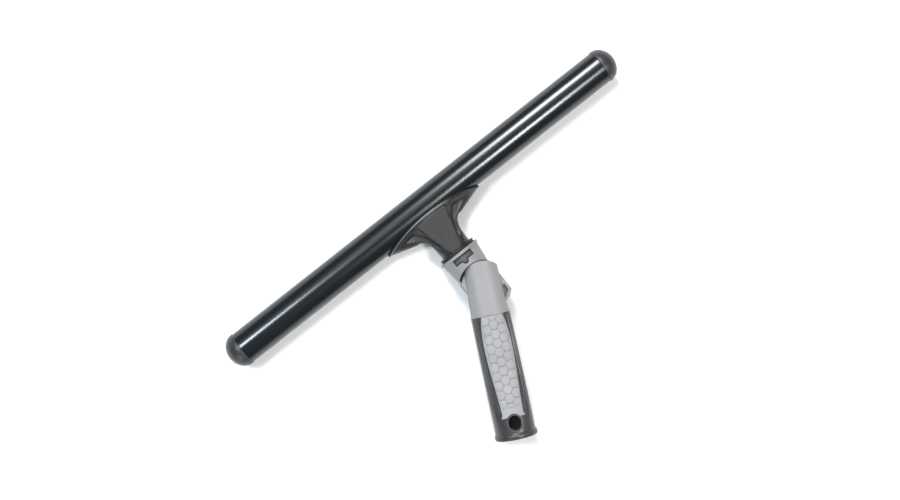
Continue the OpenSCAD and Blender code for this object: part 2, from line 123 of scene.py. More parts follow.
def smoothstep(a, b, x):
    """0 below a, 1 above b, and a smooth cubic between."""
    s = np.clip((x - a) / (b - a), 0, 1)
    return s * s * (3 - 2 * s)


def spread(*stations):
    """Joins stretches of evenly spaced values: each station is (from, to, steps)."""
    return np.concatenate([np.linspace(a, b, n, endpoint=False) for a, b, n in stations]
                          + [np.array([stations[-1][1]])])


def build(name, points, quads, fans=()):
    """A mesh object from points (n, 3), quads (m, 4) and fan triangles (k, 3)."""
    tris = np.concatenate([np.asarray(f) for f in fans]) if len(fans) else np.zeros((0, 3), int)
    loops = np.concatenate([quads.ravel(), tris.ravel()]).astype(np.int32)
    starts = np.concatenate([np.arange(len(quads)) * 4,
                             len(quads) * 4 + np.arange(len(tris)) * 3]).astype(np.int32)
    mesh = bpy.data.meshes.new(name)
    mesh.vertices.add(len(points))
    mesh.vertices.foreach_set("co", np.ascontiguousarray(points, np.float32).ravel())
    mesh.loops.add(len(loops))
    mesh.loops.foreach_set("vertex_index", loops)
    mesh.polygons.add(len(starts))
    mesh.polygons.foreach_set("loop_start", starts)
    mesh.update(calc_edges=True)
    mesh.validate()
    piece = bpy.data.objects.new(name, mesh)
    bpy.context.scene.collection.objects.link(piece)
    return piece


def grid_quads(rows, columns, wrap_rows=False):
    """Quads of a grid of points that is closed along its columns, and along its rows too if asked."""
    i = np.arange(rows if wrap_rows else rows - 1)[:, None]
    j = np.arange(columns)[None, :]
    i2, j2 = (i + 1) % rows, (j + 1) % columns
    return np.stack([i * columns + j, i * columns + j2, i2 * columns + j2, i2 * columns + j],
                    -1).reshape(-1, 4)


def skin(name, rings):
    """A closed skin over rings (n, around, 3): neighbours join, and a fan closes each end."""
    n, around, _ = rings.shape
    points = np.concatenate([rings.reshape(-1, 3), rings[0].mean(0)[None], rings[-1].mean(0)[None]])
    j = np.arange(around)
    j2 = (j + 1) % around
    first, last = n * around, n * around + 1
    fans = [np.stack([np.full(around, first), j2, j], -1),
            np.stack([np.full(around, last), (n - 1) * around + j, (n - 1) * around + j2], -1)]
    return outward(build(name, points, grid_quads(n, around), fans))


def band(name, rings):
    """A closed ring of a skin: the last of the rings (n, around, 3) joins the first again."""
    n, around, _ = rings.shape
    return outward(build(name, rings.reshape(-1, 3), grid_quads(n, around, wrap_rows=True)))


def slab(name, top, bottom):
    """A closed solid between two grids of points (n, m, 3) with a wall all round its rim."""
    n, m, _ = top.shape
    index = np.arange(n * m).reshape(n, m)
    under = index + n * m

    def sheet(g):
        return np.stack([g[:-1, :-1], g[:-1, 1:], g[1:, 1:], g[1:, :-1]], -1).reshape(-1, 4)

    def rim(g):
        return np.concatenate([g[0, :-1], g[:-1, -1], g[-1, :0:-1], g[:0:-1, 0]])

    a, b = rim(index), rim(under)
    wall = np.stack([a, b, np.roll(b, -1), np.roll(a, -1)], -1)
    quads = np.concatenate([sheet(index), sheet(under)[:, ::-1], wall])
    points = np.concatenate([top.reshape(-1, 3), bottom.reshape(-1, 3)])
    return outward(build(name, points, quads))


def points_of(piece):
    """A piece's points, (n, 3)."""
    at = np.zeros(len(piece.data.vertices) * 3)
    piece.data.vertices.foreach_get("co", at)
    return at.reshape(-1, 3)


def mark(piece, name, values):
    """Keeps a value for each point of a piece in an attribute, for its material to read."""
    made = piece.data.attributes.new(name, "FLOAT", "POINT")
    made.data.foreach_set("value", values.astype(np.float32))


def outward(piece):
    """Turns every face of a closed mesh outwards, from the sign of the volume it holds."""
    mesh = piece.data
    mesh.calc_loop_triangles()
    corners = np.zeros(len(mesh.loop_triangles) * 3, np.int32)
    mesh.loop_triangles.foreach_get("vertices", corners)
    a, b, c = points_of(piece)[corners].reshape(-1, 3, 3).transpose(1, 0, 2)
    if np.einsum("ij,ij->i", a, np.cross(b, c)).sum() < 0:
        mesh.flip_normals()
    return piece


def revolve(profile, around, place):
    """Rings of a profile of (radius, height) turned about an axis, put in place by a function."""
    profile = np.asarray(profile, float)
    a = np.arange(around) * TURN / around
    r, h = profile[:, :1], profile[:, 1:2]
    return place(r * np.cos(a), r * np.sin(a), h + 0 * a)


def about_bar(u, v, h):
    """A shape about the bar's axis, with its height along the bar."""
    return on_bar(np.stack([h, -v, u], -1))


def about_neck(u, v, h):
    """A shape about the neck's axis, with its height towards the handle from the bar's axis."""
    return on_bar(np.stack([u, h, v], -1))


def about_handle(u, v, h):
    """A shape about the handle's axis, with its height towards the swivel."""
    return np.stack([u, h, v], -1)


def about_pivot(u, v, h):
    """A shape about the swivel's axis, with its height towards the front."""
    return PIVOT + np.stack([u, v, h], -1)


def about_pivot_turned(u, v, h):
    """A shape about the swivel's axis that is square to the bar: v points at the bar."""
    return PIVOT + u[..., None] * BAR_X + v[..., None] * BAR_Y + h[..., None] * UP


def facing_bar(u, v, h):
    """A shape that faces the front, square to the bar: v is away from the bar's axis."""
    return on_bar(np.stack([u, v, h], -1))


def facing_handle(u, v, h):
    """A shape that faces the front, square to the handle: v is up from the socket's mouth."""
    return np.stack([u, v, h], -1)


def shifted(place, along=0.0, across=0.0):
    """A place for shapes that are first moved by (along, across) in its own plane."""
    return lambda u, v, h: place(u + along, v + across, h)


def arc(cx, cy, r, start, end, steps):
    """Profile points on an arc about (cx, cy), from one angle to another in degrees."""
    a = np.radians(np.linspace(start, end, steps + 1))
    return np.stack([cx + r * np.cos(a), cy + r * np.sin(a)], -1)


def settle(piece):
    """Applies a piece's modifiers to its mesh."""
    bpy.context.view_layer.update()
    graph = bpy.context.evaluated_depsgraph_get()
    mesh = bpy.data.meshes.new_from_object(piece.evaluated_get(graph))
    piece.modifiers.clear()
    old = piece.data
    piece.data = mesh
    bpy.data.meshes.remove(old)
    mesh.name = piece.name
    return piece


def carve(piece, *tools, how="DIFFERENCE"):
    """Cuts the tools out of a piece, or joins them to it, and throws the tools away."""
    for tool in tools:
        step = piece.modifiers.new("carve", "BOOLEAN")
        step.operation = how
        step.solver = "EXACT"
        step.object = tool
        settle(piece)
        data = tool.data
        bpy.data.objects.remove(tool)
        bpy.data.meshes.remove(data)
    return piece


def soften(piece, width, segments=2, angle=35):
    """Rounds a moulding's sharp edges."""
    step = piece.modifiers.new("soften", "BEVEL")
    step.width = width
    step.segments = segments
    step.limit_method = "ANGLE"
    step.angle_limit = math.radians(angle)
    step.use_clamp_overlap = True
    return settle(piece)


def shade(piece, angle=32):
    """Smooth shading, broken where two faces meet at more than an angle."""
    piece.data.shade_smooth()
    piece.data.set_sharp_from_angle(angle=math.radians(angle))
    return piece


def rod(name, radius, low, high, place, around=64):
    """A plain round cutter between two heights on an axis."""
    return skin(name, revolve([(radius, low), (radius, high)], around, place))


def block(name, corner, size, place):
    """A plain box cutter: its low corner and its size, in the frame that place gives."""
    x = np.array([0, 1, 1, 0]) * size[0] + corner[0]
    y = np.array([0, 0, 1, 1]) * size[1] + corner[1]
    z = np.array([[0], [1]]) * size[2] + corner[2]
    return skin(name, place(x + 0 * z, y + 0 * z, z + 0 * x))


# ---------------------------------------------------------------- materials

def shader(name):
    """A new material with its nodes: (material, principled node, object coordinates)."""
    made = bpy.data.materials.new(name)
    made.use_nodes = True
    nodes = made.node_tree.nodes
    return made, nodes["Principled BSDF"], nodes.new("ShaderNodeTexCoord").outputs["Object"]


def feed(node, inputs):
    """Fills a node's inputs: each one takes a value, or a link from another node's socket."""
    for name, value in inputs.items():
        if isinstance(value, bpy.types.NodeSocket):
            node.id_data.links.new(value, node.inputs[name])
        else:
            node.inputs[name].default_value = value
    return node


def noise(where, scale, detail=2.0, rough=0.5, stretch=None, turn=0.0):
    """A noise pattern, which may be stretched along axes that are turned about Z."""
    nodes = where.id_data.nodes
    if stretch:
        mapping = nodes.new("ShaderNodeMapping")
        mapping.vector_type = "TEXTURE"
        feed(mapping, {"Rotation": (0, 0, turn), "Scale": stretch, "Vector": where})
        where = mapping.outputs["Vector"]
    made = feed(nodes.new("ShaderNodeTexNoise"),
                {"Scale": scale, "Detail": detail, "Roughness": rough, "Vector": where})
    return made.outputs["Fac"]


def ramp(value, low=0, high=1):
    """Maps 0.3..0.7 of a noise onto low..high."""
    made = feed(value.id_data.nodes.new("ShaderNodeMapRange"),
                {"From Min": 0.3, "From Max": 0.7, "To Min": low, "To Max": high, "Value": value})
    return made.outputs["Result"]


def blend_colour(value, dark, light):
    """Mixes from dark, a colour or a socket, to a light colour as a value goes from 0 to 1."""
    made = value.id_data.nodes.new("ShaderNodeMix")
    made.data_type = "RGBA"
    first = dark if isinstance(dark, bpy.types.NodeSocket) else (*dark, 1)
    feed(made, {"A": first, "B": (*light, 1), "Factor": value})
    return made.outputs["Result"]


def bump(height, depth, strength=1.0, under=None):
    """Bump of a height pattern that is depth metres tall, over another bump if one is given."""
    made = feed(height.id_data.nodes.new("ShaderNodeBump"),
                {"Strength": strength, "Distance": depth, "Height": height})
    if under is not None:
        feed(made, {"Normal": under})
    return made.outputs["Normal"]


def tinted(made, attribute, colour):
    """Blends a colour into a material where a mesh attribute is 1."""
    share = made.node_tree.nodes.new("ShaderNodeAttribute")
    share.attribute_name = attribute
    out = made.node_tree.nodes["Principled BSDF"]
    plain = out.inputs["Base Color"].links[0].from_socket
    feed(out, {"Base Color": blend_colour(share.outputs["Fac"], plain, colour)})
    return made


def moulded(name, dark, light, gloss=(0.42, 0.55), grain=1600, grain_depth=0.02 * MM, specular=0.5):
    """Moulded plastic: a fine spark-eroded grain, soft clouds of tone and faint handling marks."""
    made, out, where = shader(name)
    coarse = bump(noise(where, 140, 2), 0.05 * MM, 0.5)
    feed(out, {"Base Color": blend_colour(ramp(noise(where, 60, 8, 0.75)), dark, light),
               "Roughness": ramp(noise(where, 220, 6, 0.7), *gloss),
               "Specular IOR Level": specular,
               "Normal": bump(noise(where, grain, 2, 0.6), grain_depth, 1.0, coarse)})
    return made


def anodised(name):
    """Gloss black anodising: a blue-black film with fine draw lines along the bar."""
    made, out, where = shader(name)
    tone = ramp(noise(where, 30, 2))
    lines = noise(where, 420, 2, 0.5, (200, 1, 1), BAR_ANGLE)
    feed(out, {"Base Color": blend_colour(tone, (0.0015, 0.0035, 0.0050), (0.0025, 0.0055, 0.0075)),
               "Roughness": ramp(noise(where, 120, 2, 0.5, (60, 1, 1), BAR_ANGLE), 0.212, 0.226),
               "IOR": 1.5,
               "Normal": bump(lines, 0.0015 * MM, 0.25)})
    return made


def soft_pad(name):
    """Soft grip rubber: matt grey with a fine skin, with painted shade in its pressed grooves."""
    made, out, where = shader(name)
    tone = ramp(noise(where, 90, 4, 0.6))
    feed(out, {"Base Color": blend_colour(tone, (0.222, 0.219, 0.225), (0.272, 0.268, 0.275)),
               "Roughness": ramp(noise(where, 300, 4, 0.7), 0.50, 0.66),
               "Specular IOR Level": 0.4,
               "Normal": bump(noise(where, 2200, 3, 0.65), 0.03 * MM, 1.0)})
    # The "groove" attribute paints shade into the grooves and the cross line, darkest under each cell.
    return tinted(made, "groove", (0.160, 0.161, 0.166))


def metal(name, colour, rough):
    """Plated or sintered metal with a fine brushed grain."""
    made, out, where = shader(name)
    darker = tuple(0.8 * c for c in colour)
    feed(out, {"Base Color": blend_colour(ramp(noise(where, 200, 3)), darker, colour),
               "Metallic": 1.0,
               "Roughness": ramp(noise(where, 700, 4), rough - 0.07, rough + 0.07),
               "Normal": bump(noise(where, 2500, 2), 0.01 * MM, 0.7)})
    return made


FINISH = {
    "anodised_tube": anodised("anodised_tube"),
    "cap_plastic": moulded("cap_plastic", (0.016, 0.016, 0.018), (0.024, 0.024, 0.027), (0.36, 0.46)),
    # The "edge" attribute paints a highlight along the cheeks' bead: a light grey over the black.
    "saddle_plastic": tinted(moulded("saddle_plastic", (0.009, 0.009, 0.010), (0.019, 0.019, 0.020),
                                     (0.33, 0.47), 700, 0.09 * MM, 0.42), "edge", (0.16, 0.16, 0.165)),
    "black_rubber": moulded("black_rubber", (0.008, 0.008, 0.008), (0.012, 0.012, 0.012), (0.6, 0.75)),
    "collar_plastic": moulded("collar_plastic", (0.168, 0.168, 0.172), (0.198, 0.198, 0.203),
                              (0.42, 0.55), 1100, 0.04 * MM),
    "latch_plastic": moulded("latch_plastic", (0.050, 0.050, 0.048), (0.085, 0.084, 0.074), (0.5, 0.65),
                             1600, 0.02 * MM, 0.3),
    "head_plastic": moulded("head_plastic", (0.199, 0.196, 0.200), (0.217, 0.213, 0.218), (0.42, 0.52),
                            1500, 0.012 * MM),
    "grip_plastic": moulded("grip_plastic", (0.021, 0.021, 0.023), (0.032, 0.032, 0.035),
                            (0.30, 0.42), 1300),
    "pad_rubber": soft_pad("pad_rubber"),
    "steel": metal("steel", (0.62, 0.62, 0.63), 0.32),
    "bronze": metal("bronze", (0.62, 0.46, 0.25), 0.42),
    "washer_plastic": moulded("washer_plastic", (0.68, 0.66, 0.60), (0.76, 0.74, 0.69), (0.45, 0.6)),
}


def dress(piece, finish, body, *nodes):
    """Gives a finished piece its material and body, and lets it stand for its CAD nodes."""
    piece.data.materials.clear()
    piece.data.materials.append(FINISH[finish])
    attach(piece, body)
    if nodes:
        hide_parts(*nodes)
    return piece


# ---------------------------------------------------------------- the bar

SADDLE_SCREW_X = 17.5 * MM
SCREW_SHANK_R = 1.6 * MM
SCREW_SEAT_R = 3.3 * MM


def make_bar_tube():
    """A tube: its wall's profile, with broken edges, turned about the bar's axis."""
    half, edge, middle = BAR_L / 2, 0.15 * MM, SADDLE_SCREW_X + 4 * MM
    stations = spread((-half + edge, -middle, 6), (-middle, middle, 14), (middle, half - edge, 6))
    outer = [(TUBE_R - edge, -half)] + [(TUBE_R, x) for x in stations] + [(TUBE_R - edge, half)]
    inner = [(TUBE_IR + edge, half)] + [(TUBE_IR, x) for x in stations[::-1]] + [(TUBE_IR + edge, -half)]
    tube = band("bar_tube_shell", revolve(outer + inner, 192, about_bar))
    for x in (-SADDLE_SCREW_X, SADDLE_SCREW_X):
        carve(tube, rod("hole", SCREW_SHANK_R, 5 * MM, 20 * MM, shifted(about_neck, x), 32))
    return dress(shade(tube), "anodised_tube", "bar_head", "bar_tube")


def make_end_cap(side):
    """A plug, a proud rim with rounded edges and a dome: a profile turned about the bar's axis."""
    rim, dome, plug = 1.2 * MM, 12 * MM, 14 * MM
    plug_r, lead, round_r = TUBE_IR - 0.1 * MM, 1.2 * MM, 0.55 * MM
    node = "end_cap_right" if side > 0 else "end_cap_left"
    a = np.radians(np.linspace(0, 89.2, 40))
    profile = np.concatenate([
        [(0.5 * MM, -plug), (TUBE_IR - lead, -plug), (plug_r, -plug + lead),
         (plug_r, -0.01 * MM), (TUBE_IR, 0), (TUBE_R, 0)],
        arc(CAP_R - round_r, round_r, round_r, -90, 0, 5),
        np.stack([CAP_R * np.cos(a), rim + (dome - rim) * np.sin(a)], -1)])
    profile[:, 1] += BAR_L / 2
    cap = skin(node + "_dome", revolve(profile, 160,
                                       lambda u, v, h: about_bar(u, v, side * h)))
    return dress(shade(cap, 40), "cap_plastic", "bar_head", node)


# ---------------------------------------------------------------- the saddle and neck

SADDLE_HALF = 41.7 * MM
SADDLE_WRAP = 7.5 * MM
CHEEK_EDGE = 0.9 * MM
NECK_R = 12.2 * MM
NECK_FROM = 30 * MM
FLANGE_AT = 39.7 * MM
FLANGE_H = 1.4 * MM
RING_H = 1.2 * MM
RING_AT = FLANGE_AT + FLANGE_H
COLLAR_AT = RING_AT + RING_H
COLLAR_MID = 11.7 * MM
WINDOW_T = COLLAR_AT + 4.8 * MM
SPIGOT_R = 11.8 * MM
SPIGOT_L = 11.4 * MM
BORE_R = 12 * MM
BORE_L = 10.4 * MM
PANEL_Z = 13.1 * MM
NECK_TAPER = 0.05
WING_EVEN = 0.55
WING_TURN = 20
FLANK_PINCH = 0.30
FLANK_HOLLOW = 0.45
BEAD = 0.55 * MM
WELL_R = 3.3 * MM
WELL_FLOOR = -4.5 * MM


def cheek_line(x):
    """How far from the bar's axis the cheeks end: a shallow arc, furthest in at the middle."""
    r = (SADDLE_HALF ** 2 + SADDLE_WRAP ** 2) / (2 * SADDLE_WRAP)
    return TUBE_R - SADDLE_WRAP + r - np.sqrt(np.maximum(r * r - x * x, 0))


def panel_half(t):
    """Half width of the raised face panel, which narrows towards the flange."""
    return np.interp(t, [8 * MM, 17 * MM, 33 * MM, FLANGE_AT], [13.2 * MM, 10.6 * MM, 5.2 * MM, 4.2 * MM])


def cheek_edge(a):
    """The lens where the cheeks end on the tube: x as a cosine, t from the cheek line, z on the tube."""
    x = SADDLE_HALF * np.cos(a)
    t = np.minimum(cheek_line(x), TUBE_R)
    return x, t, np.sign(np.sin(a)) * np.sqrt(np.maximum(TUBE_R ** 2 - t ** 2, 0))


def neck_ring_at(a, r, at):
    """One ring of the neck: a circle at a distance from the bar's axis."""
    return np.stack([r * np.cos(a), at + 0 * a, r * np.sin(a)], -1)[None]


def wing_rings(a, steps=104):
    """Rings from the cheeks' lens to the neck's circle, evenly spaced down the wing.

    With s from 0 to 1, x and z run straight from the lens to the circle, and t falls
    gently and then turns down into the neck, as 0.55 s + 0.45 s^20. Depth is pinched on
    the flanks.
    """
    def fall(s):
        return WING_EVEN * s + (1 - WING_EVEN) * s ** WING_TURN

    x_edge, t_edge, z_edge = cheek_edge(a)
    grow = (TUBE_R + CHEEK_EDGE) / TUBE_R
    wing_run, wing_fall = 29, 17
    s = np.linspace(0, 1, 400)
    length = np.cumsum(np.hypot(np.gradient(s) * wing_run, np.gradient(fall(s)) * wing_fall))
    even = np.interp(np.linspace(length[0], length[-1], steps), length, s)[:, None]
    x = x_edge + (NECK_R * np.cos(a) - x_edge) * even
    t = t_edge * grow + (NECK_FROM - t_edge * grow) * fall(even)
    z = z_edge * grow + (NECK_R * np.sin(a) - z_edge * grow) * even
    flank = 1 - np.abs(np.sin(a)) ** 3
    z = z * (1 - FLANK_PINCH * flank * np.sin(math.pi * np.clip(even, 0, 1)) ** 0.8)
    return np.stack([x, t, z], -1)


def press_face(body, a):
    """Presses the flanks' hollows into the rings, and raises the face panel and the cheeks' bead.

    A hollow is a smooth pit between the panel and the wing's outline, never below the
    cheeks' own skin. The panel lifts z to one height within its half width. The bead
    moves a ring out from the bar's axis close to the cheeks' edge.
    """
    x, t, z = body[..., 0], body[..., 1], body[..., 2]
    steps = np.linalg.norm(np.diff(body, axis=0), axis=-1)
    from_edge = np.concatenate([np.zeros((1, len(a))), np.cumsum(steps, axis=0)])
    reach = np.abs(x).max(axis=1, keepdims=True)
    out = (np.abs(x) - panel_half(t)) / (reach - panel_half(t))
    hollow = (smoothstep(0, 0.4, out) * smoothstep(1.0, 0.3, out)
              * smoothstep(1.8 * MM, 9 * MM, from_edge)
              * smoothstep(FLANGE_AT - 1 * MM, FLANGE_AT - 12 * MM, t))
    cheek_skin = np.sqrt(np.maximum((TUBE_R + CHEEK_EDGE) ** 2 - t ** 2, 0))
    depth = np.maximum(np.abs(z) * (1 - FLANK_HOLLOW * hollow), np.minimum(cheek_skin, np.abs(z)))
    inside = (smoothstep(-0.9 * MM, 0.5 * MM, panel_half(t) - np.abs(x))
              * smoothstep(1.9 * MM, 3.6 * MM, from_edge))
    raised = depth * (1 - inside) + np.maximum(depth, PANEL_Z) * inside
    body[..., 2] = np.sign(z) * np.where(np.abs(np.sin(a)) > 0.2, raised, depth)
    bead = BEAD * smoothstep(1.7 * MM, 1.0 * MM, from_edge) / np.hypot(body[..., 1], body[..., 2])
    body[..., 1:] *= (1 + bead)[..., None]


def make_saddle():
    """One skin of rings: under the cheeks, round their edge, down the wings, neck, flange and spigot."""
    around = 640
    a = np.arange(around) * TURN / around
    x_edge, t_edge, z_edge = cheek_edge(a)
    neck = [neck_ring_at(a, NECK_R - (at - NECK_FROM) * NECK_TAPER, at)
            for at in np.linspace(NECK_FROM, FLANGE_AT, 16)[1:]]
    body = np.concatenate([wing_rings(a)] + neck)
    press_face(body, a)

    fit = (TUBE_R + 0.03 * MM) / TUBE_R
    lens = []
    for share in (0.12, 0.35, 0.6, 0.85, 1.0):
        z_in = z_edge * share * fit
        lens.append(np.stack([x_edge * share, np.sqrt((TUBE_R * fit) ** 2 - z_in ** 2), z_in], -1))
    edge = [np.stack([x_edge, t_edge * k, z_edge * k], -1)
            for k in 1 + np.array([0.4, 0.9, 1.35]) * CHEEK_EDGE / TUBE_R]
    tail = [neck_ring_at(a, r, at) for r, at in (
        (FLANGE_R - 0.35 * MM, FLANGE_AT + 0.02 * MM), (FLANGE_R, FLANGE_AT + 0.35 * MM),
        (FLANGE_R, RING_AT - 0.25 * MM), (FLANGE_R - 0.25 * MM, RING_AT), (SPIGOT_R, RING_AT),
        (SPIGOT_R, RING_AT + SPIGOT_L - 0.5 * MM), (SPIGOT_R - 0.5 * MM, RING_AT + SPIGOT_L),
        (2 * MM, RING_AT + SPIGOT_L))]
    rings = np.concatenate([np.stack(lens), np.stack(edge), body] + tail)
    saddle = skin("saddle_neck_moulding", on_bar(rings))

    tools = [block("pocket", (-9.2 * MM, WINDOW_T - 3.7 * MM, 2.6 * MM), (18.4 * MM, 12 * MM, 12 * MM),
                   facing_bar),
             rod("well", WELL_R, WELL_FLOOR, 4 * MM, shifted(facing_bar, 0, WINDOW_T + 0.5 * MM), 48)]
    for x in (-SADDLE_SCREW_X, SADDLE_SCREW_X):
        place = shifted(about_neck, x)
        tools += [rod("shank", SCREW_SHANK_R, 8 * MM, 19 * MM, place, 32),
                  rod("seat", SCREW_SEAT_R, 18.5 * MM, 24.5 * MM, place, 48)]
    carve(saddle, *tools)
    # Paints a highlight along the crest of the cheeks' bead.
    paint_cheek_highlight(saddle)
    return dress(shade(saddle, 38), "saddle_plastic", "bar_head", "saddle_neck")


def paint_cheek_highlight(saddle):
    """The attribute "edge": 1 along the crest of the bead on the cheeks, a painted highlight
    that lightens the saddle's colour there.

    It is a narrow band in the distance round the tube from the cheek line, and it fades
    out past the middle of the right half.
    """
    at = points_of(saddle) - BAR_MID
    x, t, z = at @ BAR_X, -(at @ BAR_Y), at @ UP
    round_bar = np.arctan2(t, np.abs(z)) - np.arcsin(np.clip(cheek_line(x) / TUBE_R, -1, 1))
    away = round_bar * np.hypot(t, z)
    line = smoothstep(0.1 * MM, 0.5 * MM, away) * smoothstep(1.5 * MM, 1.0 * MM, away)
    # Painted highlight: a light band on the bead's crest, faded out on the right half.
    mark(saddle, "edge", line * smoothstep(22 * MM, 2 * MM, x))


def make_neck_ring():
    """A soft ring with round edges between the neck's flange and the collar."""
    r, inner, edge = FLANGE_R - 0.5 * MM, SPIGOT_R + 0.02 * MM, 0.35 * MM
    profile = np.concatenate([[(inner, RING_AT)], arc(r - edge, RING_AT + edge, edge, -90, 0, 4),
                              arc(r - edge, COLLAR_AT - edge, edge, 0, 90, 4), [(inner, COLLAR_AT)]])
    return dress(shade(band("neck_ring_seal", revolve(profile, 128, about_neck)), 50),
                 "black_rubber", "bar_head", "neck_ring")


# ---------------------------------------------------------------- the collar and its latch

COLLAR_R = LIP_R - 1.1 * MM
COLLAR_SIDE = 16.8 * MM
COLLAR_TAPER = 1.5 * MM
HOLLOW_R = PIVOT_AT - COLLAR_AT - COLLAR_MID
TONGUE_HALF = 14.1 * MM
TONGUE_R = 20.2 * MM
TONGUE_TOP = 17.8 * MM
TONGUE_H = 5.5 * MM
TONGUE_RIM = 2.2 * MM
WEB_H = 1.2 * MM
HUB_R = 8.2 * MM
BUSH_R = 5.55 * MM
WINDOW_HALF = 7.9 * MM
WINDOW_H = 4.7 * MM
BAY_R = 2.5 * MM


def tongue_reach(a, inset):
    """How far the tongue's outline is from the pivot at an angle from the bar's X axis.

    A circle below and straight sides, which draw in above the pivot to stay inside the
    collar.
    """
    across, up = np.maximum(np.abs(np.cos(a)), 1e-6), np.maximum(np.sin(a), 1e-6)
    height = TONGUE_HALF * up / across
    half = (TONGUE_HALF - inset - 0.7 * MM * smoothstep(9 * MM, 13.2 * MM, height)
            - 1.5 * MM * smoothstep(13.2 * MM, 17 * MM, height))
    end = np.where(np.sin(a) > 0, (TONGUE_TOP - inset) / up, TONGUE_R - inset)
    return np.minimum(half / across, end)


def make_tongue():
    """A plate round the pivot: each ring is the outline drawn in, or a circle, at one height.

    Below the pivot its face is hollowed between the hub and the rim. A groove round the
    pivot, front and back, leaves a gap beside the collar's hollow, inside the rim.
    """
    a = np.arange(360) * TURN / 360
    chamfer, web_from = 1.0 * MM, 8.4 * MM
    inner = tongue_reach(a, TONGUE_RIM)
    floor_in = np.maximum(HUB_R, web_from / np.maximum(-np.sin(a), 0.05))
    hollow_here = (np.sin(a) < -0.3) & (floor_in < inner - 0.6 * MM)
    web = np.where(hollow_here, WEB_H, TONGUE_H)
    near = np.where(hollow_here, floor_in, HUB_R)
    rings = []
    for sign in (1, -1):
        part = [(np.full_like(a, BUSH_R), TONGUE_H), (near, TONGUE_H), (near + 0.15 * MM, web),
                (np.maximum(inner - 0.15 * MM, near + 0.2 * MM), web),
                (np.maximum(inner, near + 0.3 * MM), TONGUE_H),
                (tongue_reach(a, chamfer), TONGUE_H), (tongue_reach(a, 0), TONGUE_H - chamfer)]
        for reach, height in (part if sign > 0 else part[::-1]):
            rings.append(about_pivot_turned(reach * np.cos(a), reach * np.sin(a), sign * height + 0 * a))
    tongue = band("tongue", np.stack(rings))
    groove_in, groove_out, over = HOLLOW_R - 2.1 * MM, HOLLOW_R + 3 * MM, 9 * MM
    wall = np.array([(groove_in, WEB_H), (groove_out, WEB_H), (groove_out, over), (groove_in, over)])
    keep = TONGUE_HALF - 1.9 * MM
    for side in (1, -1):
        groove = band("groove", revolve(wall * (1, side), 192, about_pivot_turned))
        half = block("half", (-keep, 9 * MM, -20 * MM), (2 * keep, 30 * MM, 40 * MM), about_pivot_turned)
        carve(groove, half, how="INTERSECT")
        carve(tongue, groove)
    return tongue


def window_tool(low, high):
    """A straight cutter with the window's outline: a wide slot with a round bay below it."""
    half, up = WINDOW_HALF, WINDOW_H / 2
    bay = np.radians(np.linspace(180, 0, 17))
    u = np.concatenate([[-half, -half], BAY_R * np.cos(bay), [half, half]])
    v = np.concatenate([[-up, up], up + BAY_R * np.sin(bay), [up, -up]]) + WINDOW_T
    return skin("window", np.stack([facing_bar(u, v, h + 0 * u) for h in (low, high)]))


def make_collar():
    """A turned collar with a lip, hollowed to face the swivel head, and its tongue."""
    lip_h, edge = 2.2 * MM, 0.4 * MM
    side_from = lip_h + 1.6 * MM
    profile = np.concatenate([
        [(1 * MM, BORE_L), (BORE_R, BORE_L), (BORE_R, 0.3 * MM), (BORE_R + 0.3 * MM, 0)],
        arc(LIP_R - edge, edge, edge, -90, 0, 4),
        arc(LIP_R - edge, lip_h - edge, edge, 0, 60, 3),
        [(COLLAR_R + 0.45 * MM, lip_h + 0.25 * MM), (COLLAR_R + 0.1 * MM, lip_h + 0.8 * MM),
         (COLLAR_R - 0.05 * MM, side_from)],
        [(COLLAR_R - COLLAR_TAPER * k, side_from + (COLLAR_SIDE - side_from) * k)
         for k in np.linspace(0.15, 0.97, 8)],
        [(COLLAR_R - COLLAR_TAPER - 0.3 * MM, COLLAR_SIDE), (1 * MM, COLLAR_SIDE)]])
    profile[:, 1] += COLLAR_AT
    collar = skin("swivel_collar_moulding", revolve(profile, 160, about_neck))
    hollow = rod("hollow", HOLLOW_R, -25 * MM, 25 * MM, about_pivot_turned, 256)
    carve(collar, hollow, window_tool(4 * MM, 20 * MM))
    carve(collar, make_tongue(), how="UNION")
    soften(collar, 0.25 * MM, 2, 38)
    return dress(shade(collar, 38), "collar_plastic", "bar_head", "swivel_collar")


